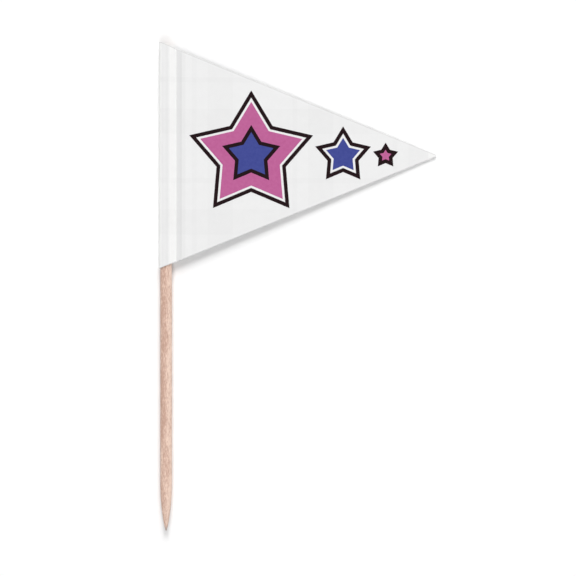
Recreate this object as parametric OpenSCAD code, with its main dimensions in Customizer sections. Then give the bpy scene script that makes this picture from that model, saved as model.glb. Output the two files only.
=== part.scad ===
// Flag toothpick: a birch cocktail pick with a printed paper pennant.
// One strip of paper is wrapped round the top of the pick and glued to itself, print outwards.
// The part lies on a table: +Z is up, +Y runs up the pick, and the pennant points along +X.
// The sleeve round the pick and the pennant's tip touch the table, so the sheet slopes a little.

/* [Pick] */
// Length of the pick, from its square top to the end of its point
stick_len = 65; // [50:0.5:120]
// Diameter of the pick
stick_d = 1.57; // [1.2:0.01:2.2]
// Length over which the pick narrows, measured to where its flanks would meet
taper_len = 6.8; // [4:0.1:12]
// Radius that rounds off the very end of the point
point_r = 0.12; // [0.05:0.01:0.2]
// How far the pick stops short of the sleeve's upper corner
top_recess = 1; // [0.8:0.1:5]

/* [Pennant] */
// Height of the pennant along the pick
hoist = 30.6; // [26:0.1:50]
// Length of the pennant from its folded edge to its tip
fly = 37.5; // [34:0.1:60]
// Radius that rounds the pennant's tip
tip_r = 0.15; // [0.1:0.05:1]
// Thickness of the paper
paper_t = 0.13; // [0.1:0.01:0.2]
// Thickness of the glue between the pick and the sleeve
glue_t = 0.02; // [0.01:0.01:0.05]
// Length of the hollow that the wrap leaves between the pick and the line where its leaves meet
wrap_gap = 0.44; // [0.4:0.02:2]
// Depth to which the leaves are pressed together at the foot of the wrap
crease_depth = 0.04; // [0.01:0.01:0.06]
// Width over which they come back to their full thickness
crease_w = 0.76; // [0.3:0.02:1.5]

/* [Print] */
// Thickness of the ink, printed alike on both faces
ink_t = 0.02; // [0.01:0.01:0.04]
// Radius of the largest star, to its points
star_r = 8.8; // [7.5:0.1:9]
// Distance of the largest star's centre from the pick's axis
star_x = 11.5; // [11.2:0.1:12.5]
// Size of each next star towards the tip, as a share of the last
next_share = 0.45; // [0.42:0.01:0.48]
// Size of the small star in the middle of the largest one, as a share of it
heart_share = 0.47; // [0.35:0.01:0.55]
// Clear width between one star and the next, along the pennant
star_gap = 0.3; // [0.1:0.1:1]
// Depth of a star's shape: the radius of its notches, as a share of the radius to its points
notch_share = 0.56; // [0.5:0.01:0.62]
// Width of the dark outline round each star
outline_w = 0.5; // [0.2:0.05:0.6]
// Width of the bare line between an outline and its colour
keyline_w = 0.3; // [0.1:0.05:0.4]

/* [Hidden] */
$fn = 96;
// Length added where one shape passes right through another
over = 1;

// Pick: each flank of its point is an arc that runs on from the shank, and its end is round
stick_r = stick_d / 2;
flank_r = (pow(stick_r, 2) + pow(taper_len, 2)) / stick_d;
end_run = sqrt(pow(flank_r - point_r, 2) - pow(flank_r - stick_r, 2));
shank_len = stick_len - end_run - point_r;
stick_top = hoist / 2 - top_recess;

// Sleeve: its bore, its outer face, and the angle at which the paper leaves the round
bore_r = stick_r + glue_t;
sleeve_r = bore_r + paper_t;
glue_line = stick_r + wrap_gap;
wrap_angle = acos(bore_r / glue_line);
// Depth at which a flat starts inside the round that it leaves
tuck = 0.002;

// Pennant: its tip from the pick's axis, and the slope of its edges, which run on from the round tip
tip_x = fly - sleeve_r;
edge_slope = atan(hoist / 2 / (fly - tip_r)) - asin(tip_r / norm([fly - tip_r, hoist / 2]));
// Slope of the sheet that sets the lower corner of its tip on the table
lie_angle = asin(sleeve_r / norm([tip_x, paper_t])) - atan(paper_t / tip_x);

// Middle of the part as it lies, from the pick's axis at half the hoist
middle_x = (tip_x * cos(lie_angle) + paper_t * sin(lie_angle) - sleeve_r) / 2;
middle_y = (hoist / 2 + stick_top - stick_len) / 2;

// Stars: the angle from a point to the next notch, and the distance from the centre of a star
// of radius 1 to its edges
star_points = 5;
star_turn = 180 / star_points;
star_edge = notch_share * sin(star_turn)
    / sqrt(1 + pow(notch_share, 2) - 2 * notch_share * cos(star_turn));

// Radius of each star, the largest first
function star_size(i) = star_r * pow(next_share, i);
// Distance of each star's centre from the pick's axis, with the points of neighbours side by side
function star_place(i) =
    i == 0 ? star_x
    : star_place(i - 1) + star_gap + cos(star_turn / 2) * (star_size(i - 1) + star_size(i));
// Radius of the star that lies a given width inside the edges of another
function inside(r, width) = r - width / star_edge;
// Radius of the small star in the middle of the largest one
heart_r = star_r * heart_share;

// Lays a shape on the table, from the frame of the pick's axis and a level sheet
module as_it_lies() {
    translate([-middle_x, -middle_y, sleeve_r])
        rotate([0, lie_angle, 0])
            children();
}

// Half the pick's outline, with its top at the origin and its point below
module stick_profile() {
    flank_centre = [stick_r - flank_r, -shank_len];
    end_centre = [0, -shank_len - end_run];
    meet = end_centre + (end_centre - flank_centre) * point_r / (flank_r - point_r);
    translate([0, -shank_len])
        square([stick_r, shank_len]);
    intersection() {
        translate(flank_centre)
            circle(r = flank_r, $fn = 720);
        polygon([[0, -shank_len], end_centre, meet, [stick_r + over, meet.y], [stick_r + over, -shank_len]]);
    }
    intersection() {
        translate(end_centre)
            circle(r = point_r);
        polygon([end_centre, meet, [over, meet.y], [over, end_centre.y - over], end_centre - [0, over]]);
    }
}

// A round with two flats that leave it at the given angle and run out to the given points.
// The flats start a hair inside the round, so that they cross it and don't merely touch it.
module drop_shape(r, leave_angle, points) {
    start = (r - tuck) * [cos(leave_angle), sin(leave_angle)];
    circle(r = r);
    polygon(concat([[0, 0], [start.x, -start.y]], points, [start]));
}

// Section of the folded strip across the pick: the round wrap, two webs and the glued leaves
module fold_section() {
    pressed_t = paper_t - crease_depth;
    crease_x = (sleeve_r - pressed_t * sin(wrap_angle)) / cos(wrap_angle);
    upper_face = [[tip_x + over, paper_t], [crease_x + crease_w, paper_t], [crease_x, pressed_t]];
    lower_face = [for (i = [2:-1:0]) [upper_face[i].x, -upper_face[i].y]];
    difference() {
        drop_shape(sleeve_r, wrap_angle, concat(lower_face, upper_face));
        drop_shape(bore_r, wrap_angle, [[glue_line, 0]]);
    }
}

// Cut outline of the pennant, from its round tip on past the folded edge
module pennant_outline() {
    back_x = fly - tip_r + over;
    back_y = hoist / 2 + over * tan(edge_slope);
    translate([tip_x - tip_r, 0])
        rotate(180)
            drop_shape(tip_r, 90 + edge_slope, [[back_x, -back_y], [back_x, back_y]]);
}

// A star with one point upwards, its points and notches in turn
module star(r) {
    polygon([
        for (i = [0:2 * star_points - 1])
            r * (i % 2 == 0 ? 1 : notch_share) * [sin(star_turn * i), cos(star_turn * i)]
    ]);
}

module star_band(outer_r, inner_r) {
    difference() {
        star(outer_r);
        star(inner_r);
    }
}

module star_at(i) {
    translate([star_place(i), 0])
        children();
}

// Prints a flat shape on both faces, cut off where the pennant ends
module printed() {
    as_it_lies()
        for (face = [0, 1])
            mirror([0, 0, face])
                translate([0, 0, paper_t])
                    linear_extrude(ink_t)
                        intersection() {
                            pennant_outline();
                            union()
                                children();
                        }
}

module toothpick() {
    color("#dbb8a5")
        as_it_lies()
            translate([0, stick_top, 0])
                rotate([-90, 0, 0])
                    rotate_extrude()
                        stick_profile();
}

module paper_flag() {
    color("#f0f0f0")
        as_it_lies()
            intersection() {
                rotate([90, 0, 0])
                    linear_extrude(hoist + 2 * over, center = true)
                        fold_section();
                linear_extrude(2 * sleeve_r + 2 * over, center = true)
                    pennant_outline();
            }
}

module pink_print() {
    color("#c0679b")
        printed() {
            star_at(0)
                star_band(inside(star_size(0), outline_w + keyline_w), heart_r);
            star_at(2)
                star(inside(star_size(2), outline_w));
        }
}

module blue_print() {
    color("#464f97")
        printed() {
            star_at(0)
                star(inside(heart_r, outline_w));
            star_at(1)
                star(inside(star_size(1), outline_w + keyline_w));
        }
}

module black_print() {
    color("#261418")
        printed() {
            for (i = [0:2])
                star_at(i)
                    star_band(star_size(i), inside(star_size(i), outline_w));
            star_at(0)
                star_band(heart_r, inside(heart_r, outline_w));
        }
}

toothpick();
paper_flag();
pink_print();
blue_print();
black_print();
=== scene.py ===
# Dresses the flag toothpick: a birch cocktail pick with a printed paper pennant folded round its top.
# It lies on a table with the pennant's tip down, and is seen from straight above.
# Lengths are in metres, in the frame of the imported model: +Z is up and +Y runs up the pick.

from math import acos, asin, atan, cos, pi, radians, sin, sqrt, tan

import bmesh
import bpy
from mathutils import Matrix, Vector


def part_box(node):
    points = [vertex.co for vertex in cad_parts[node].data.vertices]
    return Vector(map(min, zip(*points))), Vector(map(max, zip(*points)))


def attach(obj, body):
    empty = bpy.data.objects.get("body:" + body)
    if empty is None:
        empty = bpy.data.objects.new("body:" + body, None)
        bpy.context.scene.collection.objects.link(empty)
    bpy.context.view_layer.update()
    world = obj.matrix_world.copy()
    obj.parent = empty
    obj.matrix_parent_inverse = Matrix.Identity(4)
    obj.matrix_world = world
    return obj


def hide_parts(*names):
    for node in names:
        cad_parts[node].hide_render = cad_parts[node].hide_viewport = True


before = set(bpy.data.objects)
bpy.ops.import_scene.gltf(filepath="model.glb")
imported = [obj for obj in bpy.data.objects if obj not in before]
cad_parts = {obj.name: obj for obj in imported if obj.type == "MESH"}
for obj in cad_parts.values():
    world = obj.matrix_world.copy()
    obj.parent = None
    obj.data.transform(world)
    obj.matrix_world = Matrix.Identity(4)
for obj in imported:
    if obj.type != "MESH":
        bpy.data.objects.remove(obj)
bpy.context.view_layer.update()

MM = 0.001
# Corners of a mesh closer together than this are one
SAME_PLACE = 0.0001 * MM
# How far off a place may be and still be selected
REACH = 0.001 * MM

# Pick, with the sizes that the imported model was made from
STICK_LEN = 65 * MM
STICK_R = 0.785 * MM
TAPER_LEN = 6.8 * MM
POINT_R = 0.12 * MM
TOP_ROUND = 0.06 * MM
PICK_SIDES = 48
SHANK_RINGS = 30
FLANK_RINGS = 24
END_RINGS = 6

# Pennant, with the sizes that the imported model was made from
HOIST = 30.6 * MM
FLY = 37.5 * MM
TIP_R = 0.15 * MM
PAPER_T = 0.13 * MM
GLUE_T = 0.02 * MM
WRAP_GAP = 0.44 * MM
CREASE_DEPTH = 0.04 * MM
CREASE_W = 0.76 * MM
# Hairline left between the two glued leaves, which shows along the cut edges
LEAF_GAP = 0.006 * MM
WRAP_STEPS = 64
TIP_STEPS = 12

# The pick's flanks are arcs that run on from the shank and end in a small round
FLANK_R = (STICK_R ** 2 + TAPER_LEN ** 2) / (2 * STICK_R)
END_RUN = sqrt((FLANK_R - POINT_R) ** 2 - (FLANK_R - STICK_R) ** 2)
SHANK_LEN = STICK_LEN - END_RUN - POINT_R

# The wrap runs round the pick, and its webs leave the round at this angle to either side of +X
BORE_R = STICK_R + GLUE_T
SLEEVE_R = BORE_R + PAPER_T
WRAP_ANGLE = acos(BORE_R / (STICK_R + WRAP_GAP))
TIP_X = FLY - SLEEVE_R
EDGE_SLOPE = atan(HOIST / 2 / (FLY - TIP_R)) - asin(TIP_R / sqrt((FLY - TIP_R) ** 2 + (HOIST / 2) ** 2))
LIE_ANGLE = asin(SLEEVE_R / sqrt(TIP_X ** 2 + PAPER_T ** 2)) - atan(PAPER_T / TIP_X)

# Where the pick's axis runs, at half the pennant's height
stick_low, stick_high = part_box("toothpick")
paper_low, paper_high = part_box("paper_flag")
AXIS = Vector((
    (stick_low.x + stick_high.x) / 2,
    (paper_low.y + paper_high.y) / 2,
    (stick_low.z + stick_high.z) / 2,
))
STICK_TOP = stick_high.y


def linear(hexa):
    """The linear colour of an sRGB hex value."""
    shares = [int(hexa[i:i + 2], 16) / 255 for i in (1, 3, 5)]
    return [s / 12.92 if s <= 0.04045 else ((s + 0.055) / 1.055) ** 2.4 for s in shares] + [1.0]


def add_node(owner, kind, inputs=None, **options):
    """Adds a node to a material or a world. An input given as a socket is linked, and any other is set."""
    tree = owner.node_tree
    node = tree.nodes.new(kind)
    for name, value in options.items():
        setattr(node, name, value)
    for name, value in (inputs or {}).items():
        if isinstance(value, bpy.types.NodeSocket):
            tree.links.new(value, node.inputs[name])
        else:
            node.inputs[name].default_value = value
    return node


def new_material(name):
    material = bpy.data.materials.new(name)
    material.use_nodes = True
    material.node_tree.nodes.clear()
    return material


def select_only(test, mode):
    """Selects the vertices or edges of the mesh in edit mode whose middle passes the test."""
    bpy.ops.mesh.select_mode(type=mode)
    bpy.ops.mesh.select_all(action="DESELECT")
    mesh = bmesh.from_edit_mesh(bpy.context.edit_object.data)
    if mode == "VERT":
        for vertex in mesh.verts:
            vertex.select_set(test(vertex.co))
    else:
        for edge in mesh.edges:
            edge.select_set(test((edge.verts[0].co + edge.verts[1].co) / 2))
    mesh.select_flush_mode()
    bmesh.update_edit_mesh(bpy.context.edit_object.data)


def finish_piece(piece, name, material, node):
    """Puts the piece's place into its mesh, gives it its finish and lets it stand for its CAD node."""
    bpy.ops.object.mode_set(mode="OBJECT")
    bpy.ops.object.transform_apply(location=True, rotation=True, scale=True)
    bpy.ops.object.shade_smooth_by_angle(angle=radians(30))
    piece.name = name
    piece.data.name = name
    piece.data.materials.clear()
    piece.data.materials.append(material)
    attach(piece, "root")
    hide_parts(node)


# Birch, peeled and rolled round: pale pinkish tan, matt, with fine long fibres, small specks, slow patches,
# short brown vessel lines and a greyer last millimetre at the point. Painted light makes it paler towards
# +X.
birch = new_material("birch_rolled_round")
birch_place = add_node(
    birch, "ShaderNodeMapping",
    {"Vector": add_node(birch, "ShaderNodeTexCoord").outputs["Object"],
     "Location": (AXIS.x, STICK_TOP, AXIS.z), "Scale": (MM, MM, MM)},
    vector_type="TEXTURE")
birch_split = add_node(birch, "ShaderNodeSeparateXYZ", {"Vector": birch_place.outputs["Vector"]})
# Painted light: the wood is painted paler towards +X, along one side of the pick
painted_light_side = add_node(
    birch, "ShaderNodeMapRange",
    {"Value": birch_split.outputs["X"], "From Min": -0.25, "From Max": 0.75, "To Min": 0.25, "To Max": 0.9},
    interpolation_type="SMOOTHSTEP")
# Fibres are about 0.03 mm wide and some millimetres long; they are drawn 0.1 mm wide so that they show.
fibre_place = add_node(
    birch, "ShaderNodeMapping", {"Vector": birch_place.outputs["Vector"], "Scale": (1, 0.04, 1)})
fibres = add_node(
    birch, "ShaderNodeTexNoise",
    {"Vector": fibre_place.outputs["Vector"], "Scale": 8.0, "Detail": 4.0, "Roughness": 0.6,
     "Distortion": 0.2})
fibre_tone = add_node(
    birch, "ShaderNodeMapRange",
    {"Value": fibres.outputs["Fac"], "From Min": 0.3, "From Max": 0.7, "To Min": -0.3, "To Max": 0.3})
# Specks, 0.15 mm wide and 0.5 mm long, are the ends of fibres that rolling has torn.
speck_place = add_node(
    birch, "ShaderNodeMapping", {"Vector": birch_place.outputs["Vector"], "Scale": (1, 0.3, 1)})
specks = add_node(
    birch, "ShaderNodeTexNoise",
    {"Vector": speck_place.outputs["Vector"], "Scale": 6.5, "Detail": 2.0, "Roughness": 0.6})
speck_tone = add_node(
    birch, "ShaderNodeMapRange",
    {"Value": specks.outputs["Fac"], "From Min": 0.32, "From Max": 0.68, "To Min": -0.5, "To Max": 0.5})
# Patches about 1 mm wide and 4 mm long are a little darker or paler, as one piece of wood is.
patch_place = add_node(
    birch, "ShaderNodeMapping", {"Vector": birch_place.outputs["Vector"], "Scale": (1, 0.25, 1)})
patches = add_node(
    birch, "ShaderNodeTexNoise",
    {"Vector": patch_place.outputs["Vector"], "Scale": 1.0, "Detail": 1.0, "Roughness": 0.5})
patch_tone = add_node(
    birch, "ShaderNodeMapRange",
    {"Value": patches.outputs["Fac"], "From Min": 0.35, "From Max": 0.65, "To Min": -0.25, "To Max": 0.25})
side_and_patch = add_node(
    birch, "ShaderNodeMath",
    {0: painted_light_side.outputs["Result"], 1: patch_tone.outputs["Result"]}, operation="ADD")
grain_tone = add_node(
    birch, "ShaderNodeMath",
    {0: fibre_tone.outputs["Result"], 1: speck_tone.outputs["Result"]}, operation="ADD")
birch_tone = add_node(
    birch, "ShaderNodeMath",
    {0: side_and_patch.outputs["Value"], 1: grain_tone.outputs["Value"]}, operation="ADD", use_clamp=True)
birch_body = add_node(
    birch, "ShaderNodeMix",
    {0: birch_tone.outputs["Value"], 6: linear("#c6a190"), 7: linear("#ecd0bf")}, data_type="RGBA")
# Vessels are brown lines 0.1 mm wide and up to 1 mm long.
vessel_place = add_node(
    birch, "ShaderNodeMapping", {"Vector": birch_place.outputs["Vector"], "Scale": (1, 0.14, 1)})
vessels = add_node(
    birch, "ShaderNodeTexNoise",
    {"Vector": vessel_place.outputs["Vector"], "Scale": 9.0, "Detail": 1.0, "Roughness": 0.5})
vessel_share = add_node(
    birch, "ShaderNodeMapRange",
    {"Value": vessels.outputs["Fac"], "From Min": 0.64, "From Max": 0.74, "To Max": 0.5},
    interpolation_type="SMOOTHSTEP")
birch_lined = add_node(
    birch, "ShaderNodeMix",
    {0: vessel_share.outputs["Result"], 6: birch_body.outputs[2], 7: linear("#a98672")}, data_type="RGBA")
# The point's last millimetre is greyer
end_share = add_node(
    birch, "ShaderNodeMapRange",
    {"Value": birch_split.outputs["Y"], "From Min": 0.9 - STICK_LEN / MM, "From Max": 0.1 - STICK_LEN / MM,
     "To Max": 0.75},
    interpolation_type="SMOOTHSTEP")
birch_colour = add_node(
    birch, "ShaderNodeMix",
    {0: end_share.outputs["Result"], 6: birch_lined.outputs[2], 7: linear("#a79c98")}, data_type="RGBA")
birch_rough = add_node(
    birch, "ShaderNodeMapRange",
    {"Value": fibres.outputs["Fac"], "From Min": 0.3, "From Max": 0.7, "To Min": 0.72, "To Max": 0.6})
birch_bump = add_node(
    birch, "ShaderNodeBump", {"Height": fibres.outputs["Fac"], "Strength": 0.6, "Distance": 0.03 * MM})
birch_shader = add_node(
    birch, "ShaderNodeBsdfPrincipled",
    {"Base Color": birch_colour.outputs[2], "Roughness": birch_rough.outputs["Result"],
     "Normal": birch_bump.outputs["Normal"], "IOR": 1.5, "Specular IOR Level": 0.35})
add_node(birch, "ShaderNodeOutputMaterial", {"Surface": birch_shader.outputs["BSDF"]})

# Label paper, smooth and uncoated, with a pale grey tint and a very faint check printed on it, slightly
# cloudy all over, and bare at the very tip. Light and shade are painted into its tone in bands along the
# pick: painted light on the sleeve's far flank and on the webs, and painted shade along the sleeve's crown,
# along the foot of the wrap and along the cut edges.
# The whitest tone is painted light, the bare tone is bare paper at the tip and painted light on the webs,
# and the two darkest tones are painted shade
LIT_FLANK_WHITE, BARE_AND_LIT, TINTED, SOFT_SHADE, DEEP_SHADE = "#fafaf9", "#f5f5f4", "#e9e9e9", "#e4e4e4", "#dbdbdb"
CHECK_TONE = "#fdfdfd"
# Distance from the pick's axis, in millimetres, and the tone there, painted light and shade included
PAPER_BANDS = (
    (-0.68, LIT_FLANK_WHITE), (-0.42, TINTED), (-0.20, TINTED), (0.08, SOFT_SHADE), (0.26, SOFT_SHADE), (0.62, BARE_AND_LIT),
    (1.30, BARE_AND_LIT), (1.42, DEEP_SHADE), (2.05, DEEP_SHADE), (2.20, SOFT_SHADE), (2.45, SOFT_SHADE), (2.75, TINTED))
BANDS_FROM, BANDS_TO = -1.0, 3.0
paper = new_material("label_paper_tinted")
paper_place = add_node(
    paper, "ShaderNodeMapping",
    {"Vector": add_node(paper, "ShaderNodeTexCoord").outputs["Object"],
     "Location": AXIS, "Rotation": (0, LIE_ANGLE, 0), "Scale": (MM, MM, MM)},
    vector_type="TEXTURE")
paper_split = add_node(paper, "ShaderNodeSeparateXYZ", {"Vector": paper_place.outputs["Vector"]})
band_share = add_node(
    paper, "ShaderNodeMapRange",
    {"Value": paper_split.outputs["X"], "From Min": BANDS_FROM, "From Max": BANDS_TO})
bands = add_node(paper, "ShaderNodeValToRGB", {"Fac": band_share.outputs["Result"]})
stops = bands.color_ramp.elements
for x, tone in PAPER_BANDS:
    stops.new((x - BANDS_FROM) / (BANDS_TO - BANDS_FROM)).color = linear(tone)
stops.remove(stops[0])
stops.remove(stops[-1])
# The tint thins out a millimetre before the tip
tip_share = add_node(
    paper, "ShaderNodeMapRange",
    {"Value": paper_split.outputs["X"], "From Min": TIP_X / MM - 1.2, "From Max": TIP_X / MM - 0.95,
     "To Max": 0.7},
    interpolation_type="SMOOTHSTEP")
banded = add_node(
    paper, "ShaderNodeMix",
    {0: tip_share.outputs["Result"], 6: bands.outputs["Color"], 7: linear(BARE_AND_LIT)}, data_type="RGBA")
# A cut edge is this far from the pennant's middle line, in millimetres, and a painted shade 0.1 mm wide
# runs along inside it
edge_reach = add_node(
    paper, "ShaderNodeMath",
    {0: paper_split.outputs["X"], 1: -tan(EDGE_SLOPE), 2: (HOIST / 2 - SLEEVE_R * tan(EDGE_SLOPE)) / MM},
    operation="MULTIPLY_ADD")
from_middle = add_node(paper, "ShaderNodeMath", {0: paper_split.outputs["Y"]}, operation="ABSOLUTE")
inside_edge = add_node(
    paper, "ShaderNodeMath",
    {0: edge_reach.outputs["Value"], 1: from_middle.outputs["Value"]}, operation="SUBTRACT")
# Painted shade along the cut edges
edge_shade_share = add_node(
    paper, "ShaderNodeMapRange",
    {"Value": inside_edge.outputs["Value"], "From Min": 0.14, "From Max": 0.04})
edge_shaded = add_node(
    paper, "ShaderNodeMix",
    {0: edge_shade_share.outputs["Result"], 6: banded.outputs[2], 7: linear(DEEP_SHADE)}, data_type="RGBA")
# The check repeats every 13.6 mm, with a band 3.4 mm wide and a narrow one of 0.7 mm, and is darkest
# where bands cross. Each row below is a direction, where its wide band starts, in millimetres, and
# where its narrow band starts, as a share of the repeat.
CHECK_REPEAT, WIDE_BAND, NARROW_BAND = 13.6, 0.25, 0.05
checked = edge_shaded.outputs[2]
for direction, wide_at, narrow_at in (("X", 5.6, 0.84), ("Y", 2.9, 0.51)):
    from_wide = add_node(
        paper, "ShaderNodeMath", {0: paper_split.outputs[direction], 1: wide_at}, operation="SUBTRACT")
    in_repeats = add_node(
        paper, "ShaderNodeMath", {0: from_wide.outputs["Value"], 1: CHECK_REPEAT}, operation="DIVIDE")
    repeat_share = add_node(paper, "ShaderNodeMath", {0: in_repeats.outputs["Value"]}, operation="FRACT")
    check = add_node(paper, "ShaderNodeValToRGB", {"Fac": repeat_share.outputs["Value"]})
    check.color_ramp.interpolation = "CONSTANT"
    check.color_ramp.elements[0].color = linear(CHECK_TONE)
    check.color_ramp.elements[1].position = WIDE_BAND
    check.color_ramp.elements.new(narrow_at).color = linear(CHECK_TONE)
    check.color_ramp.elements.new(narrow_at + NARROW_BAND).color = linear("#ffffff")
    checked = add_node(
        paper, "ShaderNodeMix",
        {0: 1.0, 6: checked, 7: check.outputs["Color"]}, data_type="RGBA", blend_type="MULTIPLY").outputs[2]
# Clouds in the pulp are about 1 mm across
clouds = add_node(
    paper, "ShaderNodeTexNoise",
    {"Vector": paper_place.outputs["Vector"], "Scale": 0.9, "Detail": 3.0, "Roughness": 0.6})
cloud_share = add_node(
    paper, "ShaderNodeMapRange",
    {"Value": clouds.outputs["Fac"], "From Min": 0.3, "From Max": 0.7, "To Min": 0.98})
paper_colour = add_node(
    paper, "ShaderNodeMix",
    {0: 1.0, 6: checked, 7: cloud_share.outputs["Result"]}, data_type="RGBA", blend_type="MULTIPLY")
# Fibres of paper are about 0.03 mm wide; the tooth is drawn at 0.15 mm so that it shows.
tooth = add_node(
    paper, "ShaderNodeTexNoise",
    {"Vector": paper_place.outputs["Vector"], "Scale": 6.0, "Detail": 4.0, "Roughness": 0.7})
paper_bump = add_node(
    paper, "ShaderNodeBump", {"Height": tooth.outputs["Fac"], "Strength": 0.25, "Distance": 0.01 * MM})
paper_rough = add_node(
    paper, "ShaderNodeMapRange",
    {"Value": tooth.outputs["Fac"], "From Min": 0.3, "From Max": 0.7, "To Min": 0.88, "To Max": 0.78})
paper_shader = add_node(
    paper, "ShaderNodeBsdfPrincipled",
    {"Base Color": paper_colour.outputs[2], "Roughness": paper_rough.outputs["Result"],
     "Normal": paper_bump.outputs["Normal"], "IOR": 1.5, "Specular IOR Level": 0.3})
add_node(paper, "ShaderNodeOutputMaterial", {"Surface": paper_shader.outputs["BSDF"]})

# Offset ink on label paper: a satin film that follows the paper's tooth and lies a little unevenly, in
# patches of 0.4 mm.
for node_name, name, full, thin in (
        ("pink_print", "offset_ink_pink", "#b55b8f", "#bd6698"),
        ("blue_print", "offset_ink_blue", "#3c458c", "#444d94"),
        ("black_print", "offset_ink_black", "#1c0b10", "#231216")):
    ink = new_material(name)
    ink_place = add_node(
        ink, "ShaderNodeMapping",
        {"Vector": add_node(ink, "ShaderNodeTexCoord").outputs["Object"],
         "Location": AXIS, "Rotation": (0, LIE_ANGLE, 0), "Scale": (MM, MM, MM)},
        vector_type="TEXTURE")
    lay = add_node(
        ink, "ShaderNodeTexNoise",
        {"Vector": ink_place.outputs["Vector"], "Scale": 2.5, "Detail": 4.0, "Roughness": 0.7})
    lay_share = add_node(
        ink, "ShaderNodeMapRange", {"Value": lay.outputs["Fac"], "From Min": 0.3, "From Max": 0.7})
    ink_colour = add_node(
        ink, "ShaderNodeMix",
        {0: lay_share.outputs["Result"], 6: linear(full), 7: linear(thin)}, data_type="RGBA")
    ink_tooth = add_node(
        ink, "ShaderNodeTexNoise",
        {"Vector": ink_place.outputs["Vector"], "Scale": 6.0, "Detail": 4.0, "Roughness": 0.7})
    ink_bump = add_node(
        ink, "ShaderNodeBump",
        {"Height": ink_tooth.outputs["Fac"], "Strength": 0.2, "Distance": 0.008 * MM})
    ink_rough = add_node(
        ink, "ShaderNodeMapRange",
        {"Value": ink_tooth.outputs["Fac"], "From Min": 0.3, "From Max": 0.7, "To Min": 0.5, "To Max": 0.4})
    ink_shader = add_node(
        ink, "ShaderNodeBsdfPrincipled",
        {"Base Color": ink_colour.outputs[2], "Roughness": ink_rough.outputs["Result"],
         "Normal": ink_bump.outputs["Normal"], "IOR": 1.5, "Specular IOR Level": 0.1})
    add_node(ink, "ShaderNodeOutputMaterial", {"Surface": ink_shader.outputs["BSDF"]})
    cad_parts[node_name].material_slots[0].material = ink

bpy.ops.object.select_all(action="DESELECT")

# Pick: a round disc at its top, drawn down the shank and then in rings to its point. Each ring is given
# by its distance from the top and its radius.
bpy.ops.mesh.primitive_circle_add(
    vertices=PICK_SIDES, radius=STICK_R, fill_type="NGON",
    location=(AXIS.x, STICK_TOP, AXIS.z), rotation=(radians(90), 0, 0))
pick = bpy.context.object
bpy.ops.object.transform_apply(location=True, rotation=True, scale=True)
bpy.ops.object.mode_set(mode="EDIT")
rings = [(SHANK_LEN * (i + 1) / SHANK_RINGS, STICK_R) for i in range(SHANK_RINGS)]
for i in range(1, FLANK_RINGS):
    run = END_RUN * i / FLANK_RINGS
    rings.append((SHANK_LEN + run, STICK_R - FLANK_R + sqrt(FLANK_R ** 2 - run ** 2)))
# The last ring is a hair from the axis, so that the face that is drawn along closes the point
round_from, round_to = asin(END_RUN / (FLANK_R - POINT_R)), radians(88)
for i in range(END_RINGS + 1):
    turn = round_from + (round_to - round_from) * i / END_RINGS
    rings.append((SHANK_LEN + END_RUN + POINT_R * sin(turn), POINT_R * cos(turn)))
drop, ring_r = 0, STICK_R
for next_drop, next_r in rings:
    bpy.ops.mesh.extrude_region_move(TRANSFORM_OT_translate={"value": (0, drop - next_drop, 0)})
    share = next_r / ring_r
    bpy.ops.transform.resize(
        value=(share, 1, share), center_override=(AXIS.x, STICK_TOP - next_drop, AXIS.z))
    drop, ring_r = next_drop, next_r
select_only(lambda middle: abs(middle.y - STICK_TOP) < REACH, "EDGE")
bpy.ops.mesh.bevel(offset=TOP_ROUND, segments=3)
bpy.ops.mesh.select_all(action="SELECT")
bpy.ops.mesh.normals_make_consistent(inside=False)
finish_piece(pick, "birch_pick", birch, "toothpick")

# Pennant: one strip of paper, laid out along its middle surface with the pick's axis at the origin. It
# runs from one leaf's tip to the foot of the wrap, round the pick and back to the other leaf's tip.
bpy.ops.object.select_all(action="DESELECT")
spare = 1 * MM
middle_r = (BORE_R + SLEEVE_R) / 2
leaf_z = (PAPER_T + LEAF_GAP) / 2
pressed_z = (PAPER_T - CREASE_DEPTH) / 2
foot_x = (middle_r - pressed_z * sin(WRAP_ANGLE)) / cos(WRAP_ANGLE)
leaf_x = foot_x + CREASE_W
wrap_x, wrap_z = middle_r * cos(WRAP_ANGLE), middle_r * sin(WRAP_ANGLE)
leaf_len = TIP_X + spare - leaf_x
bpy.ops.mesh.primitive_plane_add(size=1, location=(0, 0, 0))
pennant = bpy.context.object
bpy.ops.object.mode_set(mode="EDIT")
bpy.ops.transform.resize(value=(leaf_len, HOIST + 2 * spare, 1))
bpy.ops.transform.translate(value=(leaf_x + leaf_len / 2, 0, leaf_z))
select_only(lambda middle: abs(middle.x - leaf_x) < REACH and abs(middle.y) < REACH, "EDGE")
bpy.ops.mesh.extrude_edges_move(TRANSFORM_OT_translate={"value": (-CREASE_W, 0, pressed_z - leaf_z)})
bpy.ops.mesh.extrude_edges_move(
    TRANSFORM_OT_translate={"value": (wrap_x - foot_x, 0, wrap_z - pressed_z)})
bpy.ops.mesh.spin(
    steps=WRAP_STEPS, angle=2 * pi - 2 * WRAP_ANGLE, center=(0, 0, 0), axis=(0, 1, 0))
bpy.ops.mesh.extrude_edges_move(
    TRANSFORM_OT_translate={"value": (foot_x - wrap_x, 0, wrap_z - pressed_z)})
bpy.ops.mesh.extrude_edges_move(TRANSFORM_OT_translate={"value": (CREASE_W, 0, pressed_z - leaf_z)})
bpy.ops.mesh.extrude_edges_move(TRANSFORM_OT_translate={"value": (leaf_len, 0, 0)})
bpy.ops.mesh.select_all(action="SELECT")
bpy.ops.mesh.remove_doubles(threshold=SAME_PLACE)
bpy.ops.mesh.normals_make_consistent(inside=False)

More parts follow.
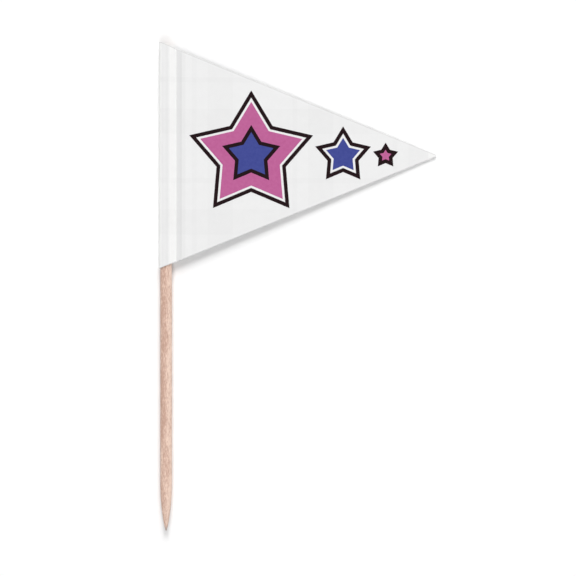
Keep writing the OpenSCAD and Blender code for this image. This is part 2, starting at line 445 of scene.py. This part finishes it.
# The strip is cut along its slanted edges and round its tip
edge_turn = radians(90) - EDGE_SLOPE
for i in range(TIP_STEPS + 1):
    turn = edge_turn * (1 - 2 * i / TIP_STEPS)
    outwards = Vector((cos(turn), sin(turn), 0))
    bpy.ops.mesh.select_all(action="SELECT")
    bpy.ops.mesh.bisect(
        plane_co=Vector((TIP_X - TIP_R, 0, 0)) + TIP_R * outwards, plane_no=outwards,
        clear_outer=True, threshold=SAME_PLACE)

# The paper is thinner along the pressed foot of the wrap
select_only(lambda place: abs(place.x - foot_x) > REACH, "VERT")
bpy.ops.object.mode_set(mode="OBJECT")
bpy.ops.object.vertex_group_add()
pennant.vertex_groups[0].name = "unpressed"
bpy.ops.object.mode_set(mode="EDIT")
bpy.context.scene.tool_settings.vertex_group_weight = 1.0
bpy.ops.object.vertex_group_assign()
bpy.ops.object.mode_set(mode="OBJECT")
wall = pennant.modifiers.new("paper_thickness", "SOLIDIFY")
wall.thickness = PAPER_T - LEAF_GAP
wall.offset = 0
wall.use_even_offset = True
wall.vertex_group = "unpressed"
wall.thickness_vertex_group = 1 - CREASE_DEPTH / PAPER_T
bpy.ops.object.modifier_apply(modifier=wall.name)
pennant.location = AXIS
pennant.rotation_euler = (0, LIE_ANGLE, 0)
finish_piece(pennant, "folded_pennant", paper, "paper_flag")

# Table: matt white card, wide enough that its edge is never seen
TABLE_SIZE = 6.0
bpy.ops.object.select_all(action="DESELECT")
card = new_material("white_card")
card_shader = add_node(
    card, "ShaderNodeBsdfPrincipled",
    {"Base Color": linear("#fafafa"), "Roughness": 0.9, "Specular IOR Level": 0.2})
add_node(card, "ShaderNodeOutputMaterial", {"Surface": card_shader.outputs["BSDF"]})
bpy.ops.mesh.primitive_plane_add(size=TABLE_SIZE, location=(0, 0, 0))
table_top = bpy.context.object
table_top.name = "table_top"
table_top.data.materials.append(card)

# Camera straight above. The picture's scale is that at the height of the pick's axis.
PICTURE_PX, PX_PER_MM = 576, 7.4
PICTURE_MIDDLE = (-1.34 * MM, -0.22 * MM)
LENS_MM, SENSOR_MM = 100, 36
camera_height = PICTURE_PX / PX_PER_MM * MM * LENS_MM / SENSOR_MM
bpy.ops.object.camera_add(location=(*PICTURE_MIDDLE, AXIS.z + camera_height), rotation=(0, 0, 0))
camera = bpy.context.object
camera.data.lens = LENS_MM
camera.data.sensor_width = SENSOR_MM
camera.data.clip_start = 0.01
bpy.context.scene.camera = camera

# Room: its walls are white down to the table, and its ceiling, where the panels are, is dim
room = bpy.data.worlds.new("white_room")
bpy.context.scene.world = room
room.use_nodes = True
room.node_tree.nodes.clear()
room_height = add_node(
    room, "ShaderNodeSeparateXYZ", {"Vector": add_node(room, "ShaderNodeTexCoord").outputs["Generated"]})
room_light = add_node(
    room, "ShaderNodeMapRange",
    {"Value": room_height.outputs["Z"], "From Min": 0.06, "From Max": 0.28, "To Min": 1.0, "To Max": 0.2},
    interpolation_type="SMOOTHSTEP")
room_background = add_node(
    room, "ShaderNodeBackground", {"Color": (1, 1, 1, 1), "Strength": room_light.outputs["Result"]})
add_node(room, "ShaderNodeOutputWorld", {"Surface": room_background.outputs["Background"]})

# Soft studio light: a strong panel beyond the top of the picture, which the pennant keeps off the table
# along its lower edge, and a larger, softer and steeper one beyond the bottom. Each is given by its place
# and width in metres and its power in watts.
for name, place, size, power in (
        ("key_panel", (0.16, 2.56, 1.88), 1.6, 92),
        ("near_panel", (0.08, -1.75, 2.65), 2.4, 49.5)):
    bpy.ops.object.light_add(type="AREA", location=place)
    panel = bpy.context.object
    panel.name = name
    panel.data.size = size
    panel.data.energy = power
    panel.rotation_euler = (-Vector(place)).to_track_quat("-Z", "Y").to_euler()
bpy.context.scene.view_settings.view_transform = "Standard"
